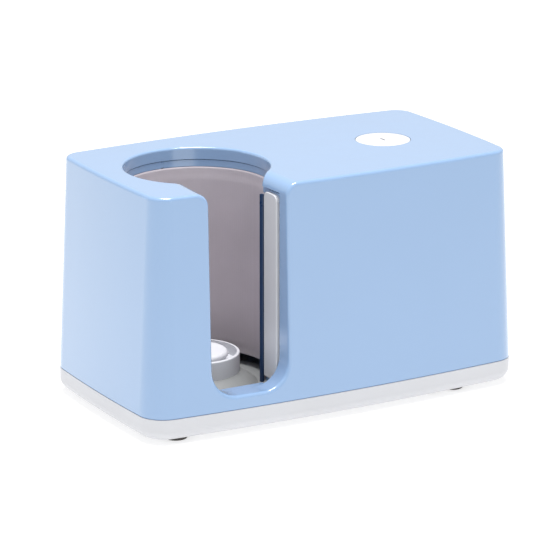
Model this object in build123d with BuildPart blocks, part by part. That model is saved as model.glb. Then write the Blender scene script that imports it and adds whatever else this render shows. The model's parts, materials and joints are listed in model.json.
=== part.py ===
"""Automatic mug heat press: a moulded case with a heated clamping well for one mug.

Origin on the floor under the middle of the case, +X along the case towards the control side,
+Y towards the back, +Z up. Millimetres throughout.
"""
from math import acos, atan2, cos, degrees, pi, radians, sin, sqrt, tan
import os

from build123d import *

os.makedirs("parts", exist_ok=True)

# ---- case outline -------------------------------------------------------------------------
seam_length, seam_depth = 290.0, 160.5     # footprint at the seam, across the bowed sides
end_draft, face_draft = 7.0, 4.75          # how far the ends and faces lean in up to the top
long_bow, short_bow = 5.9, 2.3             # how far the sides bow out from corner to corner
seam_corner, top_corner = 18.5, 13.0       # upright corner radii
foot_height = 2.5
seam_z, top_z = 18.0, 167.0
wall, roof, tray_floor = 2.5, 3.0, 2.5
top_edge = 2.4                             # rolled edge round the top and the handle slot
tray_edge = 8.0                            # rolled lower edge of the tray
seam_line_depth, seam_line_height = 0.7, 0.6
locating_lip, lip_thickness = 3.0, 1.4     # the tray's lip inside the shell

# ---- mug well and handle slot -------------------------------------------------------------
well_inset, well_y = 74.8, -2.6            # from the case's left end, and from its middle
mouth_margin = 1.3                         # the mouth is this much wider than the pads
lip_depth = 8.5                            # height of the rim wall round the mouth
mouth_edge = 1.6
slot_margin, slot_flare = 0.2, 2.45        # how the slot's sides stand to the clamp bars
slot_bottom, slot_corner, shoulder = 27.5, 19.0, 9.0
return_gap, sill_reach = 2.0, 6.0          # the slot's sides stop short of the bars
sill_half = 18.0
well_floor_z, floor_sheet, floor_margin = 14.0, 2.0, 0.4
pedestal_radius, pedestal_wall, pedestal_top = 28.5, 1.9, 36.4
plinth_radius, plinth_height = 41.0, 9.5    # the floor rises in a cone to the pedestal
plunger_radius, plunger_top, plunger_travel, stem_radius = 20.5, 37.6, 1.2, 5.0
plunger_head, plunger_round, recess_z, spring_wire = 3.5, 2.6, 29.0, 0.9
floor_post_circle = 50.0

# ---- clamping jaws ------------------------------------------------------------------------
pad_radius, pad_thickness = 48.0, 3.0
carrier_wall, jaw_bottom, jaw_gap = 2.5, 22.0, 0.5
collar_height, collar_margin = 4.5, 1.7
ring_end_angle, pad_end_angle = 36.0, 31.5 # from straight ahead, where the ring and pad stop
rear_gap = 1.1                             # half the gap between the two jaws at the back
hinge_gap, pin_radius, knuckle_radius = 1.3, 3.0, 6.0
knuckle_height, knuckle_gap = 20.0, 0.5
lower_knuckles_z, upper_knuckles_drop = 28.0, 48.0
closing_angle = 3.0
bar_thickness, bar_depth, bar_gap = 3.0, 17.0, 0.9
bar_bottom, bar_drop, bar_round = 27.3, 2.0, 4.5
arm_bottom, arm_thickness, arm_end_radius = 24.0, 3.0, 6.5
arm_lug_angles, lug_radius, lug_height = (58.0, 78.0), 4.0, 8.0
bar_screw_inset, bar_screw_drop = 6.0, 18.0
wrap_thickness, wrap_bottom, wrap_drop = 3.0, 36.0, 8.0
bracket_gap, bracket_half, bracket_sheet = 2.6, 16.0, 2.0

# ---- lead screw drive ---------------------------------------------------------------------
screw_z, screw_radius, screw_lead = 14.0, 4.0, 4.0
nut_margin, nut_size, nut_pin_radius = 7.25, 12.0, 2.5
gear_module, screw_teeth, motor_teeth, gear_width = 0.8, 18, 24, 6.0
pressure_angle, gear_backlash = 20.0, 0.24
motor_angle = 54.0                         # direction from the screw to the motor axis
motor_radius, gearbox_length, can_length = 12.5, 20.0, 36.0
shaft_radius = 3.0
bearing_margin, bearing_width, bearing_size, bearing_base_z = 8.0, 5.0, 10.6, 8.0
nut_base_z = 7.0
thread_pitch, thread_depth = 4.0, 0.8

limit_switch_inset = 13.0

# ---- start button -------------------------------------------------------------------------
button_inset, button_y, button_radius, button_travel = 69.6, -3.0, 19.0, 1.2
button_rim, button_cap = 2.0, 2.0
guide_drop, board_drop, board_thickness = 14.0, 21.0, 1.6
button_stem, stem_drop = 3.5, 13.5
slit_length, slit_width = 6.5, 1.3

# ---- back panel ---------------------------------------------------------------------------
panel_inset, panel_z, panel_width, panel_height, panel_recess = 61.0, 42.0, 66.0, 34.0, 6.48
inlet_offset, inlet_body, inlet_flange = 12.0, (27.4, 20.0), (31.0, 24.0)
rocker_offset, rocker_body, rocker_flange = -18.0, (13.0, 19.4), (15.5, 22.0)
rocker_tilt, flange_thickness, pivot_radius, pivot_depth = 7.0, 1.6, 1.6, 2.0
inlet_depth, socket_width, socket_height, socket_depth = 18.0, 22.0, 15.5, 14.0

# ---- fits, fastenings and feet ------------------------------------------------------------
running, clear = 0.05, 0.3                 # radial running clearance, and general clearance
case_screw, case_head, small_screw, small_head = 1.5, 2.8, 1.25, 2.3
post_radius, post_length = 4.5, 26.0
end_post_inset, end_post_y, face_post_inset = 13.0, 45.0, 14.25
foot_radius, foot_stem = 7.8, 2.5
foot_left_inset, foot_right_inset, foot_face_inset = 27.0, 47.0, 19.85

# ---- electronics --------------------------------------------------------------------------
board_inset, board_y, board_size = 61.0, 14.0, (86.0, 66.0)
board_z = 12.0
vent_y, vent_pitch, vent_count, vent_length, vent_width = -8.0, 7.0, 9, 40.0, 2.5

# ---- worked-out values --------------------------------------------------------------------
inner_floor_z = foot_height + tray_floor
top_length, top_depth = seam_length - 2 * end_draft, seam_depth - 2 * face_draft
left_end, right_end = -seam_length / 2, seam_length / 2
well_x, button_x, board_x = left_end + well_inset, right_end - button_inset, right_end - board_inset
mouth_radius, collar_radius = pad_radius + mouth_margin, pad_radius + collar_margin
lip_bottom = top_z - lip_depth
jaw_top = lip_bottom - jaw_gap
upper_knuckles_z, bar_top = jaw_top - upper_knuckles_drop, jaw_top - bar_drop
wrap_top = jaw_top - wrap_drop
carrier_inner = pad_radius + pad_thickness + 0.2
carrier_outer = carrier_inner + carrier_wall
pin_y = well_y + carrier_outer + knuckle_radius + hinge_gap
bracket_y = pin_y + knuckle_radius + bracket_gap
bar_offset = (pad_radius + pad_thickness) * sin(radians(pad_end_angle)) - 0.15
bar_back_y = well_y - (pad_radius + pad_thickness) * cos(radians(pad_end_angle)) - bar_gap
bar_front_y = bar_back_y - bar_depth
bar_screw_y, bar_screw_heights = bar_front_y + bar_screw_inset, (48.0, bar_top - bar_screw_drop)
slot_half_inner = bar_offset - slot_margin
slot_half = slot_half_inner + slot_flare
slot_return_y = bar_front_y - return_gap
slot_sill_y = slot_return_y + sill_reach
floor_radius = well_y - slot_sill_y - floor_margin
screw_y = slot_return_y
limit_switch_y = screw_y + limit_switch_inset
nut_offset = slot_half + nut_margin
bearing_offset = nut_offset + nut_size / 2 + bearing_margin
limit_switch_offsets = (nut_offset - 6, nut_offset + 6)
arm_reach = pin_y - screw_y
start_angle = degrees(atan2(nut_offset, arm_reach))
nut_travel = nut_offset - arm_reach * tan(radians(start_angle - closing_angle))
pin_radial = sqrt(nut_offset ** 2 + arm_reach ** 2)
pin_radial_end = arm_reach / cos(radians(start_angle - closing_angle))
centre_distance = gear_module * (screw_teeth + motor_teeth) / 2
motor_y = screw_y + centre_distance * cos(radians(motor_angle))
motor_z = screw_z + centre_distance * sin(radians(motor_angle))
gear_x = well_x + bearing_offset + bearing_width + 2
bracket_x = gear_x + gear_width + 5
gearbox_x = bracket_x + bracket_sheet
motor_end = gearbox_x + gearbox_length + can_length
button_flange = button_radius + button_rim
button_guide_z, button_board_z = top_z - guide_drop, top_z - board_drop
button_stem_z = top_z - stem_drop
board_posts = [(board_x + dx, board_y + dy) for dx in (-39, 39) for dy in (-29, 29)]
button_post_reach = (button_flange + 7.3) / sqrt(2)
button_post_places = [(button_x + dx, button_y + dy) for dx in (-button_post_reach, button_post_reach)
                      for dy in (-button_post_reach, button_post_reach)]
end_posts = [(x, y) for x in (left_end + end_post_inset, right_end - end_post_inset)
             for y in (-end_post_y, end_post_y)]
face_post_y = seam_depth / 2 - face_post_inset
case_screw_places = end_posts + [(well_x + 82.2, face_post_y), (motor_end + 24, -face_post_y)]
foot_places = [(x, y) for x in (left_end + foot_left_inset, right_end - foot_right_inset)
               for y in (foot_face_inset - seam_depth / 2, seam_depth / 2 - foot_face_inset)]
panel_x = right_end - panel_inset
inlet_x, rocker_x = panel_x + inlet_offset, panel_x + rocker_offset


def along(z, low, high):
    """A case size at height z, between its values at the seam and at the top."""
    return low + (high - low) * (z - seam_z) / (top_z - seam_z)


panel_y = along(panel_z, seam_depth, top_depth) / 2 - panel_recess


def case_sketch(z, inset=0.0):
    """The bowed, round-cornered footprint of the case at height z, drawn in by inset."""
    half_x = along(z, seam_length, top_length) / 2 - inset
    half_y = along(z, seam_depth, top_depth) / 2 - inset
    corner_x, corner_y = half_x - short_bow, half_y - long_bow
    with BuildSketch(Plane.XY.offset(z)) as footprint:
        with BuildLine():
            ThreePointArc((-corner_x, -corner_y), (0, -half_y), (corner_x, -corner_y))
            ThreePointArc((corner_x, -corner_y), (half_x, 0), (corner_x, corner_y))
            ThreePointArc((corner_x, corner_y), (0, half_y), (-corner_x, corner_y))
            ThreePointArc((-corner_x, corner_y), (-half_x, 0), (-corner_x, -corner_y))
        make_face()
        fillet(footprint.vertices(), max(along(z, seam_corner, top_corner) - inset, 1.0))
    return footprint.sketch


def front_plane(y):
    """An upright plane at y through the well's middle, seen from the front: X right, Z up."""
    return Plane(origin=(well_x, y, 0), x_dir=(1, 0, 0), z_dir=(0, -1, 0))


def slot_sketch(y, half):
    """The handle slot's clear opening, with rolled shoulders where it meets the top."""
    turn = slot_corner * (1 - cos(pi / 4))
    roll = shoulder * (1 - cos(pi / 4))
    low, high, over = slot_bottom, top_z - shoulder, top_z + 10
    with BuildSketch(front_plane(y)) as opening:
        with BuildLine():
            Line((half - slot_corner, low), (slot_corner - half, low))
            ThreePointArc((slot_corner - half, low), (turn - half, low + turn),
                          (-half, low + slot_corner))
            Line((-half, low + slot_corner), (-half, high))
            ThreePointArc((-half, high), (-half - roll, top_z - roll), (-half - shoulder, top_z))
            Line((-half - shoulder, top_z), (-half - shoulder, over))
            Line((-half - shoulder, over), (half + shoulder, over))
            Line((half + shoulder, over), (half + shoulder, top_z))
            ThreePointArc((half + shoulder, top_z), (half + roll, top_z - roll), (half, high))
            Line((half, high), (half, low + slot_corner))
            ThreePointArc((half, low + slot_corner), (half - turn, low + turn),
                          (half - slot_corner, low))
        make_face()
    return opening.sketch


def cylinder_at(x, y, low, high, radius, mode=Mode.ADD):
    """Adds an upright cylinder between two heights to the open part."""
    with BuildSketch(Plane.XY.offset(low)) as disc:
        with Locations((x, y)):
            Circle(radius)
    extrude(disc.sketch, amount=high - low, mode=mode)


def block(low, high, mode=Mode.ADD):
    """Adds a block between two opposite corners to the open part."""
    with BuildSketch(Plane.XY.offset(low[2])) as base:
        with Locations(((low[0] + high[0]) / 2, (low[1] + high[1]) / 2)):
            Rectangle(high[0] - low[0], high[1] - low[1])
    extrude(base.sketch, amount=high[2] - low[2], mode=mode)


def across(side, near, far, low_y, high_y, low_z, high_z, mode=Mode.ADD):
    """Adds a block given by its distances from the well's middle on one side."""
    edge_a, edge_b = sorted((well_x + side * near, well_x + side * far))
    block((edge_a, low_y, low_z), (edge_b, high_y, high_z), mode=mode)


def side_cylinder(low_x, high_x, y, z, radius, mode=Mode.ADD):
    """Adds a cylinder lying along X to the open part."""
    with BuildSketch(Plane.YZ.offset(low_x)) as disc:
        with Locations((y, z)):
            Circle(radius)
    extrude(disc.sketch, amount=high_x - low_x, mode=mode)


def screw(x, y, head_z, shank_z, radius, head_radius):
    """Adds an upright round-headed screw with a hex socket, its head facing the nearer end."""
    down = shank_z > head_z
    head_height = 1.6 * radius
    low, high = (head_z, head_z + head_height) if down else (head_z - head_height, head_z)
    cylinder_at(x, y, low, high, head_radius)
    start, end = (high, shank_z) if down else (shank_z, low)
    cylinder_at(x, y, start, end, radius)
    socket_z = low if down else high - 0.6 * head_height
    with BuildSketch(Plane.XY.offset(socket_z)) as socket:
        with Locations((x, y)):
            RegularPolygon(radius * 0.75, 6)
    extrude(socket.sketch, amount=0.6 * head_height, mode=Mode.SUBTRACT)


def save(part, label):
    """Names a finished piece and writes it out."""
    part.label = label
    export_step(part, f"parts/{label}.step")


# ==== upper shell ==========================================================================
with BuildPart() as case_form:
    loft([case_sketch(seam_z), case_sketch(top_z)], ruled=True)

# the same form drawn in to the middle of the wall, which trims what joins the wall from inside
with BuildPart() as mid_wall_form:
    loft([case_sketch(seam_z, wall / 2), case_sketch(top_z - roof / 2, wall / 2)], ruled=True)

with BuildPart() as case_core:
    loft([case_sketch(seam_z - 1, wall), case_sketch(top_z - roof, wall)], ruled=True)

with BuildPart() as slot_walls:
    outer_half, outer_corner = slot_half + wall, slot_corner + wall
    with BuildSketch(front_plane(slot_return_y)) as u_wall:
        with Locations((0, (slot_bottom - wall + top_z) / 2)):
            Rectangle(2 * outer_half, top_z - slot_bottom + wall)
        fillet(u_wall.vertices().group_by(Axis.Y)[0], outer_corner)
    extrude(amount=40)
    block((well_x - sill_half, slot_return_y - 2, slot_bottom - wall),
          (well_x + sill_half, slot_sill_y, slot_bottom))
    block((well_x - outer_half, slot_return_y - 2, lip_bottom),
          (well_x + outer_half, well_y - mouth_radius / 2, top_z))
    cylinder_at(well_x, well_y, lip_bottom, top_z, mouth_radius + wall)
    add(mid_wall_form.part, mode=Mode.INTERSECT)

# posts and ribs that take the case screws, shaped by the inside of the case
with BuildPart() as screw_posts:
    for place_x, place_y in case_screw_places:
        cylinder_at(place_x, place_y, seam_z, seam_z + post_length, post_radius)
        towards_side = (place_x, place_y) in end_posts
        rib_x = 15 * (1 if place_x > 0 else -1) if towards_side else 0
        rib_y = 0 if towards_side else 15 * (1 if place_y > 0 else -1)
        block((place_x + min(rib_x, -1), place_y + min(rib_y, -1), seam_z + locating_lip + 1),
              (place_x + max(rib_x, 1), place_y + max(rib_y, 1), seam_z + post_length))
    add(mid_wall_form.part, mode=Mode.INTERSECT)

with BuildPart() as slot_cutter:
    loft([slot_sketch(-seam_depth / 2 - 6, slot_half),
          slot_sketch(well_y - mouth_radius / 2, slot_half_inner)], ruled=True)

with BuildPart() as seam_groove:
    extrude(case_sketch(seam_z, -3.0), amount=seam_line_height)
    extrude(case_sketch(seam_z, seam_line_depth), amount=seam_line_height, mode=Mode.SUBTRACT)

with BuildPart() as upper_shell:
    add(case_form.part)
    add(case_core.part, mode=Mode.SUBTRACT)
    add(slot_walls.part)
    add(screw_posts.part)
    # recessed panel at the back for the inlet and the switch
    panel_low = (panel_x - panel_width / 2, panel_z - panel_height / 2)
    panel_high = (panel_x + panel_width / 2, panel_z + panel_height / 2)
    block((panel_low[0] - wall, panel_y - wall, panel_low[1] - wall),
          (panel_high[0] + wall, panel_y + 1.5, panel_high[1] + wall))
    block((panel_low[0], panel_y, panel_low[1]), (panel_high[0], panel_y + 20, panel_high[1]),
          mode=Mode.SUBTRACT)
    for place_x, size in ((inlet_x, inlet_body), (rocker_x, rocker_body)):
        block((place_x - size[0] / 2 - 0.1, panel_y - 10, panel_z - size[1] / 2 - 0.1),
              (place_x + size[0] / 2 + 0.1, panel_y + 10, panel_z + size[1] / 2 + 0.1),
              mode=Mode.SUBTRACT)
    # guide ring and board posts under the start button
    guide_radius = button_flange + clear
    cylinder_at(button_x, button_y, button_guide_z, top_z - 1, guide_radius + 2)
    cylinder_at(button_x, button_y, button_guide_z, top_z - roof, guide_radius,
                mode=Mode.SUBTRACT)
    cylinder_at(button_x, button_y, top_z - roof - 1, top_z + 1, button_radius + clear,
                mode=Mode.SUBTRACT)
    for place_x, place_y in button_post_places:
        cylinder_at(place_x, place_y, button_board_z + board_thickness, top_z - 1, 3.0)
        cylinder_at(place_x, place_y, button_board_z, button_board_z + 10,
                    small_screw + running, mode=Mode.SUBTRACT)
    for place_x, place_y in case_screw_places:
        cylinder_at(place_x, place_y, seam_z - 1, seam_z + 12, case_screw + running,
                    mode=Mode.SUBTRACT)
    add(seam_groove.part, mode=Mode.SUBTRACT)
    add(slot_cutter.part, mode=Mode.SUBTRACT)
    cylinder_at(well_x, well_y, lip_bottom - 1, top_z + 1, mouth_radius, mode=Mode.SUBTRACT)
    # rolled edges round the top and the slot's front
    front_face = upper_shell.faces().sort_by(SortBy.AREA)[-3:].sort_by(Axis.Y)[0]
    slot_rim = [edge for edge in front_face.edges() if edge.center().Z > slot_bottom - 1
                and abs(edge.center().X - well_x) < slot_half + shoulder
                and edge.length < top_z - slot_bottom]
    top_rim = [edge for edge in upper_shell.edges().filter_by(GeomType.CIRCLE)
               if edge.center().Z > top_z - 0.01
               and (abs(edge.center().X) > top_length / 2 - 2 * top_corner
                    or abs(edge.center().Y) > top_depth / 2 - long_bow - 8)]
    fillet(slot_rim + top_rim, top_edge)
    mouth_rim = [edge for edge in upper_shell.edges().filter_by(GeomType.CIRCLE)
                 if edge.center().Z > top_z - 0.01 and abs(edge.radius - mouth_radius) < 0.01]
    fillet(mouth_rim, mouth_edge)
save(upper_shell.part, "upper_shell")

# ==== base tray ============================================================================
with BuildPart() as tray_hollow:
    extrude(case_sketch(seam_z, wall), amount=inner_floor_z - seam_z)
    fillet(tray_hollow.faces().sort_by(Axis.Z)[0].edges(), tray_edge - wall)

with BuildPart() as tray_lip:
    extrude(case_sketch(seam_z, wall / 2), amount=-locating_lip)
    extrude(case_sketch(seam_z, wall + clear), amount=locating_lip)
    extrude(case_sketch(seam_z, wall + lip_thickness), amount=locating_lip, both=True,
            mode=Mode.SUBTRACT)

with BuildPart() as base_tray:
    extrude(case_sketch(seam_z), amount=foot_height - seam_z)
    fillet(base_tray.faces().sort_by(Axis.Z)[0].edges(), tray_edge)
    add(tray_hollow.part, mode=Mode.SUBTRACT)
    add(tray_lip.part)
    for place_x, place_y in case_screw_places:
        cylinder_at(place_x, place_y, foot_height + 1, seam_z, post_radius)
        cylinder_at(place_x, place_y, foot_height - 1, foot_height + 5, case_head + clear,
                    mode=Mode.SUBTRACT)
        cylinder_at(place_x, place_y, foot_height, seam_z, case_screw + clear,
                    mode=Mode.SUBTRACT)
    # posts under the well floor, the hinge bracket's feet, the nut guides and the board posts
    for turn in (45, 135, 225, 315):
        cylinder_at(well_x + floor_post_circle * cos(radians(turn)),
                    well_y + floor_post_circle * sin(radians(turn)),
                    inner_floor_z - 1, well_floor_z - floor_sheet, 4.0)
    for side_y in (screw_y - nut_size / 2 - clear - 1.5, screw_y + nut_size / 2 + clear):
        block((well_x - nut_offset - nut_size / 2 - 2, side_y, inner_floor_z - 1),
              (well_x + nut_offset + nut_size / 2 + 2, side_y + 1.5, screw_z - nut_size / 2 + 3))
    for side in (-1, 1):
        across(side, bearing_offset, bearing_offset + bearing_width,
               screw_y - bearing_size / 2, screw_y + bearing_size / 2, inner_floor_z - 1,
               bearing_base_z)
    for place_x, place_y in board_posts:
        cylinder_at(place_x, place_y, inner_floor_z - 1, board_z, 3.5)
        cylinder_at(place_x, place_y, inner_floor_z, board_z + 1, small_screw + running,
                    mode=Mode.SUBTRACT)
    for place_x, place_y in foot_places:
        cylinder_at(place_x, place_y, foot_height - 1, inner_floor_z, foot_stem,
                    mode=Mode.SUBTRACT)
    # cooling slots through the floor under the electronics
    with BuildSketch(Plane.XY.offset(foot_height - 1)):
        with Locations((board_x, vent_y)):
            with GridLocations(vent_pitch, 0, vent_count, 1):
                SlotOverall(vent_length, vent_width, rotation=90)
    extrude(amount=tray_floor + 2, mode=Mode.SUBTRACT)
save(base_tray.part, "base_tray")

with BuildPart() as rubber_feet:
    for place_x, place_y in foot_places:
        cylinder_at(place_x, place_y, 0, foot_height, foot_radius)
        cylinder_at(place_x, place_y, foot_height, inner_floor_z, foot_stem - running)
    fillet(rubber_feet.faces().filter_by_position(Axis.Z, 0, 0).edges(), 0.8)
save(rubber_feet.part, "rubber_feet")

with BuildPart() as case_screws:
    for place_x, place_y in case_screw_places:
        screw(place_x, place_y, foot_height + 1.6, seam_z + 11, case_screw, case_head)
save(case_screws.part, "case_screws")

# ==== mug well: floor, pedestal and mug sensor =============================================
with BuildPart() as well_floor:
    cylinder_at(well_x, well_y, well_floor_z - floor_sheet, well_floor_z, floor_radius)
    block((well_x - sill_half, well_y - floor_radius + 0.5, well_floor_z - 1),
          (well_x + sill_half, well_y - floor_radius + 2.0, slot_bottom - wall - clear))
    cylinder_at(well_x, well_y, 0, well_floor_z + 1, stem_radius + clear, mode=Mode.SUBTRACT)
    with Locations((well_x, well_y, well_floor_z)):
        Cone(plinth_radius, pedestal_radius, plinth_height,
             align=(Align.CENTER, Align.CENTER, Align.MIN))
    cylinder_at(well_x, well_y, well_floor_z, well_floor_z + plinth_height + 1,
                pedestal_radius + running, mode=Mode.SUBTRACT)
save(well_floor.part, "well_floor")

with BuildPart() as pedestal:
    cylinder_at(well_x, well_y, well_floor_z, pedestal_top, pedestal_radius)
    fillet(pedestal.faces().sort_by(Axis.Z)[-1].edges(), 0.7)
    cylinder_at(well_x, well_y, recess_z, pedestal_top, pedestal_radius - pedestal_wall,
                mode=Mode.SUBTRACT)
    cylinder_at(well_x, well_y, well_floor_z, recess_z - 2, pedestal_radius - pedestal_wall,
                mode=Mode.SUBTRACT)
    cylinder_at(well_x, well_y, well_floor_z + 2, recess_z, stem_radius + 2)
    cylinder_at(well_x, well_y, well_floor_z, recess_z, stem_radius + running,
                mode=Mode.SUBTRACT)
save(pedestal.part, "pedestal")

with BuildPart() as sensor_plunger:
    cylinder_at(well_x, well_y, plunger_top - plunger_head, plunger_top, plunger_radius)
    fillet(sensor_plunger.faces().sort_by(Axis.Z)[-1].edges(), plunger_round)
    cylinder_at(well_x, well_y, well_floor_z - 1, plunger_top - plunger_head, stem_radius)
save(sensor_plunger.part, "sensor_plunger")

with BuildPart() as sensor_spring:
    spring_height = plunger_top - plunger_head - recess_z
    with BuildLine():
        Helix(spring_height / 2.5, spring_height - 2 * spring_wire, stem_radius + 2.2,
              center=(well_x, well_y, recess_z + spring_wire))
    with BuildSketch(Plane(origin=(well_x + stem_radius + 2.2, well_y, recess_z + spring_wire),
                           z_dir=(0, 1, 0))):
        Circle(spring_wire / 2)
    sweep(is_frenet=True)
save(sensor_spring.part, "sensor_spring")

with BuildPart() as sensor_switch:
    block((well_x - 6.5, well_y - 3, inner_floor_z), (well_x + 6.5, well_y + 3, inner_floor_z + 5))
    block((well_x - 1.5, well_y - 1.2, inner_floor_z + 5),
          (well_x + 1.5, well_y + 1.2, well_floor_z - 1 - plunger_travel - clear))
save(sensor_switch.part, "sensor_switch")

# ==== clamping jaws ========================================================================
# Both jaws are drawn for side = 1 (right of the well) or -1 (left), and turn about one pin.
def half_ring(side, inner, outer, low, high, end_angle, start_angle=180.0):
    """One jaw's ring sector between two heights; angles are counted from straight ahead."""
    reach = 2 * outer
    turns = [radians(end_angle + (start_angle - end_angle) * step / 4) for step in range(5)]
    points = [(well_x + side * reach * sin(turn), well_y - reach * cos(turn)) for turn in turns]
    with BuildSketch(Plane.XY.offset(low)) as sector:
        with BuildLine():
            Polyline((well_x, well_y), *points, close=True)
        make_face()
    with BuildPart() as ring:
        cylinder_at(well_x, well_y, low, high, outer)
        cylinder_at(well_x, well_y, low, high, inner, mode=Mode.SUBTRACT)
        extrude(sector.sketch, amount=high - low, mode=Mode.INTERSECT)
        block((well_x - rear_gap, well_y, low), (well_x + rear_gap, well_y + reach, high),
              mode=Mode.SUBTRACT)
    return ring.part


def on_circle(side, radius, angle):
    """A point round the well at an angle counted from straight ahead."""
    turn = radians(angle)
    return well_x + side * radius * sin(turn), well_y - radius * cos(turn)


def jaw_carrier(side):
    """The moulded half shell that holds a heater pad, with its knuckles and its arm lugs."""
    rise = 0 if side < 0 else knuckle_height + knuckle_gap
    with BuildPart() as carrier:
        add(half_ring(side, carrier_inner, carrier_outer, jaw_bottom, jaw_top, ring_end_angle))
        add(half_ring(side, collar_radius, carrier_outer, jaw_top - collar_height, jaw_top,
                      ring_end_angle))
        across(side, bar_offset + bar_thickness, bar_offset + bar_thickness + carrier_wall,
               bar_front_y, well_y - carrier_inner * cos(radians(ring_end_angle)) + 3,
               arm_bottom + arm_thickness + 1, jaw_top - 1)
        for low in (lower_knuckles_z + rise, upper_knuckles_z + rise):
            across(side, 1.5, knuckle_radius + 2, well_y + carrier_outer - 2, pin_y,
                   low, low + knuckle_height)
            cylinder_at(well_x, pin_y, low, low + knuckle_height, knuckle_radius)
        for angle in arm_lug_angles:
            lug_x, lug_y = on_circle(side, carrier_outer + lug_radius - 0.5, angle)
            cylinder_at(lug_x, lug_y, arm_bottom + arm_thickness,
                        arm_bottom + arm_thickness + lug_height, lug_radius)
        cylinder_at(well_x, well_y, jaw_bottom, jaw_top - collar_height, carrier_inner,
                    mode=Mode.SUBTRACT)
        cylinder_at(well_x, pin_y, jaw_bottom, jaw_top, pin_radius + running, mode=Mode.SUBTRACT)
        for angle in arm_lug_angles:
            lug_x, lug_y = on_circle(side, carrier_outer + lug_radius - 0.5, angle)
            cylinder_at(lug_x, lug_y, arm_bottom, arm_bottom + arm_thickness + lug_height - 1,
                        small_screw + running, mode=Mode.SUBTRACT)
        for height in bar_screw_heights:
            side_cylinder(min(well_x + side * 20, well_x + side * 40),
                          max(well_x + side * 20, well_x + side * 40),
                          bar_screw_y, height, small_screw + running, mode=Mode.SUBTRACT)
    return carrier.part


def clamp_bar(side):
    """The white end bar of a jaw, with rounded upper corners, facing its twin."""
    with BuildPart() as bar:
        across(side, bar_offset, bar_offset + bar_thickness, bar_front_y, bar_back_y,
               bar_bottom, bar_top)
        fillet(bar.edges().filter_by(Axis.X).group_by(Axis.Z)[-1], bar_round)
        fillet(bar.faces().sort_by(Axis.X)[0 if side > 0 else -1].edges(), 0.6)
        for height in bar_screw_heights:
            side_cylinder(min(well_x + side * (bar_offset + 1), well_x + side * 40),
                          max(well_x + side * (bar_offset + 1), well_x + side * 40),
                          bar_screw_y, height, small_screw + running, mode=Mode.SUBTRACT)
    return bar.part


def drive_arm(side):
    """The steel arm under a jaw whose slot is pushed by the nut's pin."""
    tip = (well_x + side * nut_offset, screw_y)
    lean = start_angle * side
    slot_middle = (pin_radial + pin_radial_end) / 2
    slot_x = well_x + side * slot_middle * sin(radians(start_angle))
    slot_y = pin_y - slot_middle * cos(radians(start_angle))
    lugs = [on_circle(side, carrier_outer + lug_radius - 0.5, angle) for angle in arm_lug_angles]
    with BuildSketch(Plane.XY.offset(arm_bottom)) as web:
        with BuildLine():
            Polyline((tip[0] - side * arm_end_radius, tip[1]), (tip[0] + side * arm_end_radius,
                     tip[1]), (lugs[0][0] + side * lug_radius, lugs[0][1]),
                     (lugs[1][0] + side * lug_radius, lugs[1][1]),
                     (lugs[1][0] - side * lug_radius, lugs[1][1]),
                     (lugs[0][0] - side * lug_radius, lugs[0][1] + 2), close=True)
        make_face()
        with Locations(tip, (slot_x, slot_y)):
            Circle(arm_end_radius)
        with Locations(*lugs):
            Circle(lug_radius)
        with Locations((well_x, well_y)):
            Circle(carrier_outer + clear, mode=Mode.SUBTRACT)
        with Locations((slot_x, slot_y)):
            SlotCenterToCenter(pin_radial - pin_radial_end + 2 * clear,
                               2 * (nut_pin_radius + clear), rotation=90 + lean,
                               mode=Mode.SUBTRACT)
        with Locations(*lugs):
            Circle(small_screw + clear, mode=Mode.SUBTRACT)
    with BuildPart() as arm:
        extrude(web.sketch, amount=arm_thickness)
    return arm.part


for side, word in ((-1, "left"), (1, "right")):
    save(jaw_carrier(side), f"{word}_jaw_carrier")
    save(clamp_bar(side), f"{word}_clamp_bar")
    save(drive_arm(side), f"{word}_drive_arm")
    pad = half_ring(side, pad_radius, pad_radius + pad_thickness, jaw_bottom,
                    jaw_top - collar_height - clear, pad_end_angle)
    save(pad, f"{word}_heater_pad")
    wrap = half_ring(side, carrier_outer, carrier_outer + wrap_thickness, wrap_bottom, wrap_top,
                     48.0, 158.0)
    save(wrap, f"{word}_insulation_wrap")
    with BuildPart() as jaw_screws:
        for angle in arm_lug_angles:
            lug_x, lug_y = on_circle(side, carrier_outer + lug_radius - 0.5, angle)
            screw(lug_x, lug_y, arm_bottom - 2, arm_bottom + arm_thickness + lug_height - 2,
                  small_screw, small_head)
    save(jaw_screws.part, f"{word}_arm_screws")
    with BuildPart() as bar_screws:
        for height in bar_screw_heights:
            shank = sorted((well_x + side * (bar_offset + 1.2),
                            well_x + side * (bar_offset + bar_thickness + carrier_wall)))
            side_cylinder(shank[0], shank[1], bar_screw_y, height, small_screw)
            head = sorted((well_x + side * (bar_offset + bar_thickness + carrier_wall),
                           well_x + side * (bar_offset + bar_thickness + carrier_wall + 2)))
            side_cylinder(head[0], head[1], bar_screw_y, height, small_head)
    save(bar_screws.part, f"{word}_bar_screws")

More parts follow.
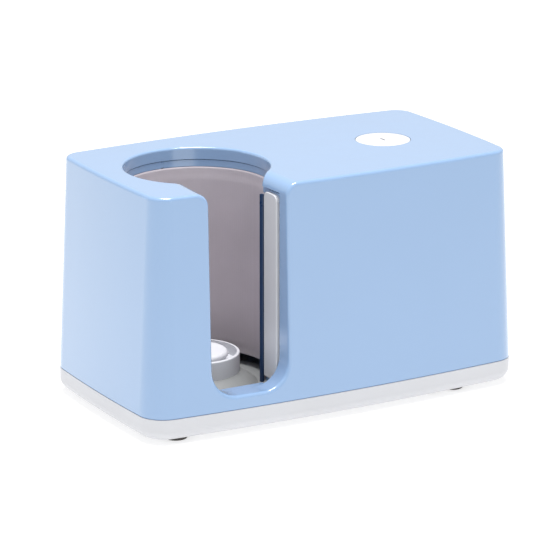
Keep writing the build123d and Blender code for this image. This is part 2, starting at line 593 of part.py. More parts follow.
# ==== hinge ================================================================================
with BuildPart() as hinge_bracket:
    block((well_x - bracket_half, bracket_y, inner_floor_z),
          (well_x + bracket_half, bracket_y + bracket_sheet, jaw_top - 2))
    block((well_x - bracket_half, bracket_y - 12, inner_floor_z),
          (well_x + bracket_half, bracket_y + bracket_sheet, inner_floor_z + bracket_sheet))
    tab_tops = (lower_knuckles_z - knuckle_gap, upper_knuckles_z - knuckle_gap,
                upper_knuckles_z + 2 * knuckle_height + 2 * knuckle_gap + bracket_sheet)
    for tab_top in tab_tops:
        block((well_x - bracket_half / 2, pin_y, tab_top - bracket_sheet),
              (well_x + bracket_half / 2, bracket_y + 1, tab_top))
        cylinder_at(well_x, pin_y, tab_top - bracket_sheet, tab_top, knuckle_radius)
    cylinder_at(well_x, pin_y, lower_knuckles_z - 10, jaw_top, pin_radius + running,
                mode=Mode.SUBTRACT)
    for dx in (-bracket_half + 5, bracket_half - 5):
        cylinder_at(well_x + dx, bracket_y - 6, inner_floor_z - 1, inner_floor_z + 4,
                    case_screw + running, mode=Mode.SUBTRACT)
save(hinge_bracket.part, "hinge_bracket")

with BuildPart() as hinge_pin:
    cylinder_at(well_x, pin_y, lower_knuckles_z - 5, tab_tops[2] + 3, pin_radius)
    cylinder_at(well_x, pin_y, tab_tops[2], tab_tops[2] + 2, pin_radius + 1.5)
    chamfer(hinge_pin.faces().sort_by(Axis.Z)[0].edges(), 0.6)
save(hinge_pin.part, "hinge_pin")

with BuildPart() as bracket_screws:
    for dx in (-bracket_half + 5, bracket_half - 5):
        screw(well_x + dx, bracket_y - 6, inner_floor_z + bracket_sheet + 2.4, inner_floor_z,
              case_screw, case_head)
save(bracket_screws.part, "bracket_screws")


# ==== lead screw drive =====================================================================
def gear_profile(plane, centre, teeth, phase):
    """A spur gear's outline with three-point flanks; phase turns its first tooth."""
    pitch = gear_module * teeth / 2
    base = pitch * cos(radians(pressure_angle))
    root, tip = max(pitch - 1.2 * gear_module, base - 0.45), pitch + 0.9 * gear_module
    half_thick = (pi * gear_module / 2 - gear_backlash) / 2 / pitch
    inv = tan(radians(pressure_angle)) - radians(pressure_angle)

    def flank(radius, hand, middle):
        lean = acos(min(1.0, base / radius))
        turn = middle + hand * (half_thick + inv - (tan(lean) - lean))
        return centre[0] + radius * cos(turn), centre[1] + radius * sin(turn)

    with BuildSketch(plane) as gear:
        with Locations(centre):
            Circle(root + 0.1)
        for tooth in range(teeth):
            middle = radians(phase) + 2 * pi * tooth / teeth
            radii = (root - 0.2, pitch, tip)
            rising = [flank(max(radius, base), -1, middle) for radius in radii]
            falling = [flank(max(radius, base), 1, middle) for radius in reversed(radii)]
            crown = (centre[0] + tip * cos(middle), centre[1] + tip * sin(middle))
            heel = (centre[0] + (root - 1) * cos(middle), centre[1] + (root - 1) * sin(middle))
            with BuildLine():
                ThreePointArc(*rising)
                ThreePointArc(rising[2], crown, falling[0])
                ThreePointArc(*falling)
                Polyline(falling[2], heel, rising[0])
            make_face()
    return gear.sketch


screw_low = well_x - bearing_offset - bearing_width
screw_high = gear_x + gear_width + 1

with BuildPart() as lead_screw:
    side_cylinder(screw_low, screw_high, screw_y, screw_z, screw_radius - 1)
    side_cylinder(well_x - bearing_offset + clear, well_x + bearing_offset - clear, screw_y,
                  screw_z, screw_radius)
    for side in (-1, 1):
        for turn in range(8):
            groove = well_x + side * (nut_offset - 14 + turn * thread_pitch)
            if abs(groove - well_x) < bearing_offset - 3:
                with BuildSketch(Plane.XY.offset(screw_z)) as thread:
                    with BuildLine():
                        Polyline((groove - 1.2, screw_y - screw_radius - 0.2),
                                 (groove, screw_y - screw_radius + thread_depth),
                                 (groove + 1.2, screw_y - screw_radius - 0.2), close=True)
                    make_face()
                revolve(axis=Axis((0, screw_y, screw_z), (1, 0, 0)), mode=Mode.SUBTRACT)
save(lead_screw.part, "lead_screw")

with BuildPart() as screw_gear:
    profile = gear_profile(Plane.YZ.offset(gear_x), (screw_y, screw_z), screw_teeth, motor_angle)
    extrude(profile, amount=gear_width)
    side_cylinder(gear_x - 1, gear_x + gear_width + 1, screw_y, screw_z, screw_radius - 1,
                  mode=Mode.SUBTRACT)
save(screw_gear.part, "screw_gear")

with BuildPart() as screw_bearings:
    for side in (-1, 1):
        near, far = bearing_offset, bearing_offset + bearing_width
        across(side, near, far, screw_y - bearing_size / 2, screw_y + bearing_size / 2,
               bearing_base_z, screw_z + bearing_size / 2)
    fillet(screw_bearings.edges().filter_by(Axis.X).group_by(Axis.Z)[-1], 4)
    side_cylinder(screw_low - 1, gear_x, screw_y, screw_z, screw_radius - 1 + running,
                  mode=Mode.SUBTRACT)
save(screw_bearings.part, "screw_bearings")

for side, word in ((-1, "left"), (1, "right")):
    with BuildPart() as nut:
        across(side, nut_offset - nut_size / 2, nut_offset + nut_size / 2,
               screw_y - nut_size / 2, screw_y + nut_size / 2,
               nut_base_z, screw_z + nut_size / 2)
        chamfer(nut.edges().filter_by(Axis.Y), 0.8)
        side_cylinder(screw_low, screw_high, screw_y, screw_z, screw_radius + running,
                      mode=Mode.SUBTRACT)
    save(nut.part, f"{word}_drive_nut")
    with BuildPart() as pin:
        cylinder_at(well_x + side * nut_offset, screw_y, screw_z + nut_size / 2,
                    arm_bottom + arm_thickness + 0.6, nut_pin_radius)
        cylinder_at(well_x + side * nut_offset, screw_y, screw_z + nut_size / 2,
                    screw_z + nut_size / 2 + 1.5, nut_pin_radius + 1.5)
    save(pin.part, f"{word}_nut_pin")

with BuildPart() as motor_gear:
    profile = gear_profile(Plane.YZ.offset(gear_x), (motor_y, motor_z), motor_teeth,
                           motor_angle + 180 + 180 / motor_teeth)
    extrude(profile, amount=gear_width)
    side_cylinder(gear_x + gear_width, gear_x + gear_width + 2, motor_y, motor_z, 5)
    side_cylinder(gear_x - 1, gear_x + gear_width + 3, motor_y, motor_z, shaft_radius,
                  mode=Mode.SUBTRACT)
save(motor_gear.part, "motor_gear")

with BuildPart() as output_shaft:
    side_cylinder(gear_x - 1, bracket_x + bracket_sheet + 8, motor_y, motor_z, shaft_radius)
save(output_shaft.part, "output_shaft")

with BuildPart() as motor_bracket:
    block((bracket_x, motor_y - 15, inner_floor_z),
          (bracket_x + bracket_sheet, motor_y + 15, motor_z + 14))
    fillet(motor_bracket.edges().filter_by(Axis.X).group_by(Axis.Z)[-1], 6)
    block((bracket_x, motor_y - 13, inner_floor_z),
          (bracket_x + 22, motor_y + 15, inner_floor_z + bracket_sheet))
    side_cylinder(bracket_x - 1, bracket_x + 3, motor_y, motor_z, shaft_radius + 1.5,
                  mode=Mode.SUBTRACT)
    for dy in (-9, 9):
        cylinder_at(bracket_x + 16, motor_y + dy, inner_floor_z - 1, inner_floor_z + 4,
                    case_screw + running, mode=Mode.SUBTRACT)
save(motor_bracket.part, "motor_bracket")

with BuildPart() as motor_screws:
    for dy in (-9, 9):
        screw(bracket_x + 16, motor_y + dy, inner_floor_z + bracket_sheet + 2.4, inner_floor_z,
              case_screw, case_head)
save(motor_screws.part, "motor_screws")

with BuildPart() as motor_gearbox:
    side_cylinder(gearbox_x, gearbox_x + gearbox_length, motor_y, motor_z, motor_radius)
    chamfer(motor_gearbox.edges().filter_by(GeomType.CIRCLE), 0.6)
    side_cylinder(gearbox_x - 1, gearbox_x + 9, motor_y, motor_z, shaft_radius + running,
                  mode=Mode.SUBTRACT)
save(motor_gearbox.part, "motor_gearbox")

with BuildPart() as drive_motor:
    side_cylinder(gearbox_x + gearbox_length, gearbox_x + gearbox_length + can_length, motor_y,
                  motor_z, motor_radius - 0.6)
    fillet(drive_motor.faces().sort_by(Axis.X)[-1].edges(), 1.5)
    side_cylinder(gearbox_x + gearbox_length + can_length,
                  gearbox_x + gearbox_length + can_length + 2.5, motor_y, motor_z, 5)
save(drive_motor.part, "drive_motor")

with BuildPart() as limit_switches:
    for offset in limit_switch_offsets:
        across(1, offset - 3, offset + 3, limit_switch_y - 4, limit_switch_y + 4,
               inner_floor_z, inner_floor_z + 6)
        across(1, offset - 1, offset + 1, limit_switch_y - 5, limit_switch_y - 4,
               inner_floor_z + 1.5, inner_floor_z + 4.5)
save(limit_switches.part, "limit_switches")

# ==== start button =========================================================================
with BuildPart() as start_button:
    cylinder_at(button_x, button_y, top_z - roof - 3.5, top_z, button_radius)
    fillet(start_button.faces().sort_by(Axis.Z)[-1].edges(), 0.5)
    cylinder_at(button_x, button_y, top_z - roof - 3.5, top_z - roof - 1, button_flange)
    cylinder_at(button_x, button_y, top_z - roof - 3.5, top_z - button_cap, button_radius - 2,
                mode=Mode.SUBTRACT)
    cylinder_at(button_x, button_y, button_stem_z, top_z - button_cap, button_stem)
    with BuildSketch(Plane.XY.offset(top_z - button_cap)):
        with Locations((button_x, button_y)):
            SlotOverall(slit_length, slit_width, rotation=90)
    extrude(amount=button_cap, mode=Mode.SUBTRACT)
save(start_button.part, "start_button")

with BuildPart() as button_indicator:
    with BuildSketch(Plane.XY.offset(top_z - button_cap)):
        with Locations((button_x, button_y)):
            SlotOverall(slit_length, slit_width, rotation=90)
    extrude(amount=button_cap - 0.15)
save(button_indicator.part, "button_indicator")

with BuildPart() as button_board:
    board_half = button_post_reach + 4
    block((button_x - board_half, button_y - board_half, button_board_z),
          (button_x + board_half, button_y + board_half, button_board_z + board_thickness))
    fillet(button_board.edges().filter_by(Axis.Z), 3)
    for place_x, place_y in button_post_places:
        cylinder_at(place_x, place_y, button_board_z - 1, button_board_z + 3,
                    small_screw + running, mode=Mode.SUBTRACT)
save(button_board.part, "button_board")

with BuildPart() as button_screws:
    for place_x, place_y in button_post_places:
        screw(place_x, place_y, button_board_z - 2, button_board_z + 8, small_screw, small_head)
save(button_screws.part, "button_screws")

tact_top = button_stem_z - button_travel - clear
with BuildPart() as button_switch:
    block((button_x - 3, button_y - 3, button_board_z + board_thickness),
          (button_x + 3, button_y + 3, tact_top - 1))
    cylinder_at(button_x, button_y, tact_top - 1, tact_top, 1.7)
save(button_switch.part, "button_switch")

spring_low = button_board_z + board_thickness
with BuildPart() as button_spring:
    coil_radius, coil_height = button_stem + 3.5, top_z - button_cap - spring_low
    with BuildLine():
        Helix(coil_height / 5, coil_height - 2 * spring_wire, coil_radius,
              center=(button_x, button_y, spring_low + spring_wire))
    with BuildSketch(Plane(origin=(button_x + coil_radius, button_y, spring_low + spring_wire),
                           z_dir=(0, 1, 0))):
        Circle(spring_wire / 2)
    sweep(is_frenet=True)
save(button_spring.part, "button_spring")

# ==== back panel: inlet and switch =========================================================
with BuildPart() as power_inlet:
    half_w, half_h = inlet_body[0] / 2, inlet_body[1] / 2
    block((inlet_x - half_w, panel_y - inlet_depth, panel_z - half_h),
          (inlet_x + half_w, panel_y, panel_z + half_h))
    block((inlet_x - inlet_flange[0] / 2, panel_y, panel_z - inlet_flange[1] / 2),
          (inlet_x + inlet_flange[0] / 2, panel_y + flange_thickness,
           panel_z + inlet_flange[1] / 2))
    with BuildSketch(Plane(origin=(inlet_x, panel_y + flange_thickness, panel_z),
                           x_dir=(1, 0, 0), z_dir=(0, -1, 0))) as socket:
        Rectangle(socket_width, socket_height)
        chamfer(socket.vertices().group_by(Axis.Y)[-1], 4)
    extrude(amount=socket_depth, mode=Mode.SUBTRACT)
save(power_inlet.part, "power_inlet")

with BuildPart() as inlet_pins:
    for dx, dz in ((-7, -2), (0, 2), (7, -2)):
        block((inlet_x + dx - 1, panel_y + flange_thickness - socket_depth, panel_z + dz - 2),
              (inlet_x + dx + 1, panel_y - 2, panel_z + dz + 2))
save(inlet_pins.part, "inlet_pins")

def rocker_pivot(reach, radius, mode=Mode.ADD):
    """A round bar along the rocker's axis, reaching that far to each side of its middle."""
    with Locations(Location((rocker_x, panel_y - pivot_depth, panel_z), (0, 90, 0))):
        Cylinder(radius, 2 * reach, mode=mode)


with BuildPart() as rocker_frame:
    half_w, half_h = rocker_body[0] / 2, rocker_body[1] / 2
    block((rocker_x - half_w, panel_y - 14, panel_z - half_h),
          (rocker_x + half_w, panel_y, panel_z + half_h))
    block((rocker_x - rocker_flange[0] / 2, panel_y, panel_z - rocker_flange[1] / 2),
          (rocker_x + rocker_flange[0] / 2, panel_y + flange_thickness,
           panel_z + rocker_flange[1] / 2))
    block((rocker_x - half_w + 1.5, panel_y - 8, panel_z - half_h + 0.8),
          (rocker_x + half_w - 1.5, panel_y + 10, panel_z + half_h - 0.8), mode=Mode.SUBTRACT)
    rocker_pivot(half_w - 0.5, pivot_radius + running, Mode.SUBTRACT)
save(rocker_frame.part, "rocker_frame")

with BuildPart() as rocker_button:
    reach = rocker_body[1] / 2 - 2.6
    face_y = panel_y + flange_thickness
    rise = reach * tan(radians(rocker_tilt))
    with BuildSketch(Plane.YZ.offset(rocker_x - rocker_body[0] / 2 + 1.5 + clear)):
        with BuildLine():
            Polyline((face_y + 0.4, panel_z), (face_y + 0.4 + 2 * rise, panel_z + reach),
                     (panel_y - 2, panel_z + reach - 0.6), (panel_y - 4, panel_z),
                     (panel_y - 2 - 2 * rise, panel_z - reach + 0.6),
                     (face_y + 0.4, panel_z - reach), close=True)
        make_face()
    extrude(amount=rocker_body[0] - 3 - 2 * clear)
    rocker_pivot(rocker_body[0] / 2 - 0.6, pivot_radius)
save(rocker_button.part, "rocker_button")

# ==== electronics ==========================================================================
board_top = board_z + board_thickness
with BuildPart() as control_board:
    block((board_x - board_size[0] / 2, board_y - board_size[1] / 2, board_z),
          (board_x + board_size[0] / 2, board_y + board_size[1] / 2, board_top))
    fillet(control_board.edges().filter_by(Axis.Z), 2)
    for place_x, place_y in board_posts:
        cylinder_at(place_x, place_y, board_z - 1, board_top + 1, small_screw + running,
                    mode=Mode.SUBTRACT)
save(control_board.part, "control_board")

with BuildPart() as board_screws:
    for place_x, place_y in board_posts:
        screw(place_x, place_y, board_top + 2, board_z - 4, small_screw, small_head)
save(board_screws.part, "board_screws")

with BuildPart() as transformer:
    block((board_x - 36, board_y - 2, board_top), (board_x - 12, board_y + 26, board_top + 22))
    block((board_x - 33, board_y - 6, board_top + 4), (board_x - 15, board_y + 30, board_top + 18))
    fillet(transformer.edges().filter_by(Axis.Z), 1)
save(transformer.part, "transformer")

with BuildPart() as heater_relay:
    block((board_x - 4, board_y + 2, board_top), (board_x + 16, board_y + 18, board_top + 16))
    fillet(heater_relay.faces().sort_by(Axis.Z)[-1].edges(), 0.8)
save(heater_relay.part, "heater_relay")

with BuildPart() as capacitors:
    for dx, dy, radius, height in ((24, 20, 5, 16), (36, 20, 5, 16), (30, 4, 4, 11)):
        cylinder_at(board_x + dx, board_y + dy, board_top, board_top + height, radius)
    fillet(capacitors.faces().filter_by(Axis.Z).edges().group_by(Axis.Z)[-1], 0.6)
save(capacitors.part, "capacitors")

with BuildPart() as terminal_block:
    block((board_x - 16, board_y - 30, board_top), (board_x + 24, board_y - 20, board_top + 10))
    for place in range(5):
        cylinder_at(board_x - 12 + 8 * place, board_y - 25, board_top + 6, board_top + 11, 2.2,
                    mode=Mode.SUBTRACT)
save(terminal_block.part, "terminal_block")

with BuildPart() as heat_sink:
    block((board_x + 4, board_y - 14, board_top), (board_x + 36, board_y - 11, board_top + 22))
    for place in range(7):
        block((board_x + 4 + 5 * place, board_y - 11, board_top),
              (board_x + 6 + 5 * place, board_y - 3, board_top + 22))
save(heat_sink.part, "heat_sink")

with BuildPart() as power_switch:
    block((board_x + 15, board_y - 18.5, board_top + 2), (board_x + 25, board_y - 14, board_top + 16))
save(power_switch.part, "power_switch")

with BuildPart() as beeper:
    cylinder_at(board_x - 26, board_y - 20, board_top, board_top + 8, 6)
    cylinder_at(board_x - 26, board_y - 20, board_top + 6, board_top + 9, 1.2, mode=Mode.SUBTRACT)
save(beeper.part, "beeper")
print("nut travel", round(nut_travel, 3), "screw turn", round(nut_travel / screw_lead * 360, 2))
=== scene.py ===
"""Looks of the automatic mug heat press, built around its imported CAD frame. Metres throughout."""
import json
import math

import bmesh
import bpy
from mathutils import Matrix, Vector, noise


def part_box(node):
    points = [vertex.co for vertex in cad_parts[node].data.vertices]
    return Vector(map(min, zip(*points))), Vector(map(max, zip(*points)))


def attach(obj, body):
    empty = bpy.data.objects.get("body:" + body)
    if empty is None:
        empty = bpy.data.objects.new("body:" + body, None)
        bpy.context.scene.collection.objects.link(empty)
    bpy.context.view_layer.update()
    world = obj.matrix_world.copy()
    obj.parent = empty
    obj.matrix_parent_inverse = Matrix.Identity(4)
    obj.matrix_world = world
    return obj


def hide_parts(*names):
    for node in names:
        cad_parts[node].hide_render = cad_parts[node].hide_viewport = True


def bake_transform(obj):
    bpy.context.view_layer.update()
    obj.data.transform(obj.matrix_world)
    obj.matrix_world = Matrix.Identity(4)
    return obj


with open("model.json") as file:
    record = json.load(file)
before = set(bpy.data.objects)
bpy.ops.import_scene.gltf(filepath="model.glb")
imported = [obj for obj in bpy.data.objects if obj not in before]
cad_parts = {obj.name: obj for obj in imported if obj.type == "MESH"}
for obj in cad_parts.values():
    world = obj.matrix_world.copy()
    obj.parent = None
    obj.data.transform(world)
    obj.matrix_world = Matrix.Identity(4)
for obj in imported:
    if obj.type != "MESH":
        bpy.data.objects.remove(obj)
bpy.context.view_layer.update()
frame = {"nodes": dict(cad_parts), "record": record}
record = frame["record"]

# ---- camera, solved on the case's edges ----------------------------------------------------
VIEW_AZIMUTH, VIEW_ELEVATION, VIEW_DISTANCE = -29.489, 16.322, 2.23403
VIEW_TARGET, VIEW_LENS = Vector((-0.008445, 0.0, 0.080674)), 213.04


def camera():
    """The photograph's viewpoint: a long lens from the front left, a little above."""
    azimuth, elevation = math.radians(VIEW_AZIMUTH), math.radians(VIEW_ELEVATION)
    back = Vector((math.sin(azimuth) * math.cos(elevation),
                   -math.cos(azimuth) * math.cos(elevation), math.sin(elevation)))
    data = bpy.data.cameras.new("view")
    data.lens, data.sensor_width = VIEW_LENS, 36.0
    data.clip_end = 50.0
    view = bpy.data.objects.new("view", data)
    view.location = VIEW_TARGET + back * VIEW_DISTANCE
    view.rotation_euler = back.to_track_quat("Z", "Y").to_euler()
    bpy.context.scene.collection.objects.link(view)
    bpy.context.scene.camera = view


# ---- node helpers --------------------------------------------------------------------------
class Nodes:
    """A short way to write a material's node tree."""

    def __init__(self, name):
        self.material = bpy.data.materials.new(name)
        self.material.use_nodes = True
        self.tree = self.material.node_tree
        self.shader = self.tree.nodes["Principled BSDF"]
        self.place = self.add("ShaderNodeTexCoord").outputs["Object"]

    def add(self, kind, **values):
        """Makes a node, sets its properties, and its inputs where the value names an input."""
        node = self.tree.nodes.new(kind)
        for key, value in values.items():
            if hasattr(node, key):
                setattr(node, key, value)
            else:
                node.inputs[key.replace("_", " ")].default_value = value
        return node

    def link(self, output, target):
        self.tree.links.new(output, target)

    def noise(self, scale, detail=4.0, roughness=0.55, stretch=(1, 1, 1)):
        """Noise over the object's own place; scale is in cells a metre."""
        mapping = self.add("ShaderNodeMapping")
        mapping.inputs["Scale"].default_value = stretch
        self.link(self.place, mapping.inputs["Vector"])
        texture = self.add("ShaderNodeTexNoise", Scale=scale, Detail=detail, Roughness=roughness)
        self.link(mapping.outputs["Vector"], texture.inputs["Vector"])
        return texture.outputs["Fac"]

    def spread(self, value, low, high, start=0.3, end=0.7):
        """Maps a texture's middle stretch onto low to high."""
        node = self.add("ShaderNodeMapRange")
        for key, number in (("From Min", start), ("From Max", end), ("To Min", low), ("To Max", high)):
            node.inputs[key].default_value = number
        self.link(value, node.inputs["Value"])
        return node.outputs["Result"]

    def blend(self, factor, first, second):
        """A colour between two, each a colour or a socket."""
        node = self.add("ShaderNodeMix", data_type="RGBA")
        self.link(factor, node.inputs["Factor"])
        for socket, colour in ((node.inputs[6], first), (node.inputs[7], second)):
            if isinstance(colour, bpy.types.NodeSocket):
                self.link(colour, socket)
            else:
                socket.default_value = (*colour, 1.0)
        return node.outputs[2]

    def bump(self, height, distance, strength=1.0, under=None):
        """A bump of that depth in metres, on top of another if one is given."""
        node = self.add("ShaderNodeBump", Distance=distance, Strength=strength)
        self.link(height, node.inputs["Height"])
        if under is not None:
            self.link(under, node.inputs["Normal"])
        return node.outputs["Normal"]

    def finish(self, colour=None, roughness=None, normal=None, **fixed):
        """Joins what varies to the shader and sets what doesn't on its own sockets."""
        for name, output in (("Base Color", colour), ("Roughness", roughness), ("Normal", normal)):
            if output is not None:
                self.link(output, self.shader.inputs[name])
        for key, value in fixed.items():
            self.shader.inputs[key.replace("_", " ")].default_value = value
        return self.material


def linear(*rgb):
    """An 0 to 255 display colour as the linear values that shaders use."""
    return tuple((v / 255 / 12.92) if v <= 10 else ((v / 255 + 0.055) / 1.055) ** 2.4 for v in rgb)


def shade(colour, factor):
    """The same colour, lighter or darker."""
    return tuple(min(1.0, c * factor) for c in colour)


def moulded(name, colour, rough=(0.3, 0.36), grain=0.00002, coat=0.0, cloud=0.03):
    """Injection-moulded plastic: faint clouding, orange peel and a fine sparked grain."""
    n = Nodes(name)
    tone = n.blend(n.spread(n.noise(14), 0, 1), shade(colour, 1 - cloud), shade(colour, 1 + cloud))
    speck = n.blend(n.spread(n.noise(2600, 2), 0, 1), shade(colour, 0.994), shade(colour, 1.006))
    mix = n.add("ShaderNodeMix", data_type="RGBA", blend_type="MIX")
    mix.inputs["Factor"].default_value = 0.4
    n.link(tone, mix.inputs[6])
    n.link(speck, mix.inputs[7])
    peel = n.bump(n.noise(160, 1), 0.00001, 0.25)
    fine = n.bump(n.noise(5200, 3, 0.6), grain, 0.6, under=peel)
    gloss = n.spread(n.noise(60, 5), *rough)
    return n.finish(mix.outputs[2], gloss, fine, IOR=1.49, Coat_Weight=coat, Coat_Roughness=0.12,
                    Coat_IOR=1.6)


def metal(name, colour, rough=(0.25, 0.42), stretch=(1, 1, 40), grain=0.00001):
    """Metal with fine directional tool marks and a little tarnish."""
    n = Nodes(name)
    tone = n.blend(n.spread(n.noise(90, 5), 0, 1), shade(colour, 0.86), shade(colour, 1.06))
    lines = n.noise(900, 3, 0.6, stretch=stretch)
    gloss = n.spread(lines, *rough)
    return n.finish(tone, gloss, n.bump(lines, grain, 0.7), Metallic=1.0)


def rubber(name, colour, rough=(0.6, 0.8)):
    """Matt moulded rubber with dust in its pores."""
    n = Nodes(name)
    tone = n.blend(n.spread(n.noise(700, 4), 0, 1), shade(colour, 0.8), shade(colour, 1.25))
    return n.finish(tone, n.spread(n.noise(300, 4), *rough),
                    n.bump(n.noise(3200, 4), 0.00004, 0.8), Specular_IOR_Level=0.4)


def silicone_pad(name, colour):
    """Heater pad: glass-cloth weave showing softly through a satin silicone skin."""
    n = Nodes(name)
    heights = []
    for direction in ("X", "Z"):
        wave = n.add("ShaderNodeTexWave", bands_direction=direction, Scale=420.0, Distortion=0.8,
                     Detail=1.0)
        n.link(n.place, wave.inputs["Vector"])
        heights.append(wave.outputs["Fac"])
    weave = n.add("ShaderNodeMath", operation="MULTIPLY")
    n.link(heights[0], weave.inputs[0])
    n.link(heights[1], weave.inputs[1])
    tone = n.blend(n.spread(n.noise(25, 5), 0, 1), shade(colour, 0.9), shade(colour, 1.08))
    cloth = n.blend(weave.outputs[0], shade(colour, 0.94), shade(colour, 1.03))
    mix = n.add("ShaderNodeMix", data_type="RGBA")
    mix.inputs["Factor"].default_value = 0.5
    n.link(tone, mix.inputs[6])
    n.link(cloth, mix.inputs[7])
    dents = n.bump(n.noise(45, 3), 0.0004, 0.3)
    cloth_bump = n.bump(weave.outputs[0], 0.00006, 0.5, under=dents)
    return n.finish(mix.outputs[2], n.spread(n.noise(120, 4), 0.38, 0.52), cloth_bump,
                    IOR=1.43, Sheen_Weight=0.08, Sheen_Roughness=0.4)


def felt(name, colour):
    """Needled ceramic felt: tangled fibres and soft lumps."""
    n = Nodes(name)
    tone = n.blend(n.spread(n.noise(1800, 6, 0.7), 0, 1), shade(colour, 0.75), shade(colour, 1.1))
    lumps = n.bump(n.noise(160, 4), 0.0006, 0.6)
    return n.finish(tone, None, n.bump(n.noise(2400, 6, 0.75), 0.0002, 1.0, under=lumps),
                    Roughness=0.95, Sheen_Weight=0.3, Sheen_Roughness=0.6)


def solder_mask(name, colour):
    """Circuit board: tracks under a green mask."""
    n = Nodes(name)
    brick = n.add("ShaderNodeTexBrick", Scale=260.0)
    brick.inputs["Mortar Size"].default_value = 0.09
    brick.inputs["Color1"].default_value = (*colour, 1)
    brick.inputs["Color2"].default_value = (*shade(colour, 0.85), 1)
    brick.inputs["Mortar"].default_value = (*shade(colour, 1.7), 1)
    n.link(n.place, brick.inputs["Vector"])
    return n.finish(brick.outputs["Color"], n.spread(n.noise(200), 0.22, 0.34),
                    n.bump(brick.outputs["Fac"], 0.00004, 0.6), IOR=1.5)


FINISHES = {
    "shell_blue": lambda: moulded("shell_blue", linear(143, 175, 214), (0.2, 0.26), 0.000006, 1.0, 0.012),
    "tray_white": lambda: moulded("tray_white", linear(212, 213, 217), (0.32, 0.38)),
    "rubber_dark": lambda: rubber("rubber_dark", linear(70, 66, 64)),
    "steel": lambda: metal("steel", linear(196, 198, 202)),
    "pad_grey": lambda: silicone_pad("pad_grey", linear(198, 190, 197)),
    "well_grey": lambda: moulded("well_grey", linear(158, 160, 160), (0.5, 0.62), 0.00005),
    "pedestal_grey": lambda: moulded("pedestal_grey", linear(226, 227, 232), (0.4, 0.5), 0.00004),
    "black_plastic": lambda: moulded("black_plastic", linear(34, 34, 36), (0.45, 0.58), 0.00006),
    "nylon": lambda: moulded("nylon", linear(236, 232, 216), (0.4, 0.5)),
    "brass": lambda: metal("brass", linear(214, 178, 104), stretch=(1, 40, 1)),
    "board_green": lambda: solder_mask("board_green", linear(22, 96, 52)),
    "aluminium": lambda: metal("aluminium", linear(205, 207, 210), (0.3, 0.5)),
    # component_blue is darkened to the deep shade in the recess beside the clamp bar, so its colour is
    # partly painted shade; the same finish also colours the blue components.
    "component_blue": lambda: moulded("component_blue", linear(16, 48, 86), (0.25, 0.35)),
    "coil_yellow": lambda: moulded("coil_yellow", linear(214, 186, 92), (0.35, 0.5), 0.00008),
    "felt": lambda: felt("felt", linear(232, 230, 222)),
    "indicator": lambda: moulded("indicator", linear(86, 84, 90), (0.15, 0.22)),
}


def dress():
    """Every CAD node takes its slot's finish."""
    made = {slot: make() for slot, make in FINISHES.items()}
    for entry in record["subparts"]:
        mesh = frame["nodes"][entry["node"]].data
        mesh.materials.clear()
        mesh.materials.append(made[entry["material_slot"]])
    return made


# ---- soft pieces round the well ------------------------------------------------------------
# Angles are in degrees from straight ahead, round the well's middle.
WELL_X, WELL_Y = -0.0702, -0.0026
PAD_LOW, PAD_HIGH, COLLAR_HIGH = 0.022, 0.1532, 0.158
PAD_INNER, PAD_OUTER = 0.048, 0.051
PAD_END, STRIP_START, STRIP_END = 33.0, 33.3, 31.55
BELLOWS_END, BELLOWS_INNER, BELLOWS_OUTER = 177.4, 0.0498, 0.0520
WRAP_ANGLES, WRAP_INNER, WRAP_OUTER = (160.0, 62.0), 0.0538, 0.0567
STRAP_HEIGHTS, STRAP_HALF_WIDTH = (0.062, 0.124), 0.004
STRAP_INNER, STRAP_OUTER = 0.0557, 0.0563
REAR = 180


def stations(first, last, edge, steps, rolled_first=True, rolled_last=True):
    """Places from first to last, closer together on a rolled edge, each with how full it is."""
    roll = [1 - math.cos(math.radians(a)) for a in (0, 18, 36, 54, 72, 90)]
    reach = abs(last - first)
    places = [(edge * r, math.sqrt(1 - (1 - r) ** 2)) for r in roll] if rolled_first else [(0, 1)]
    middle_end = reach - (edge if rolled_last else 0)
    start = places[-1][0]
    places += [(start + (middle_end - start) * i / steps, 1.0) for i in range(1, steps + 1)]
    if rolled_last:
        places += [(reach - edge * r, math.sqrt(1 - (1 - r) ** 2)) for r in reversed(roll[:-1])]
    way = 1 if last > first else -1
    return [(first + way * place, full) for place, full in places]


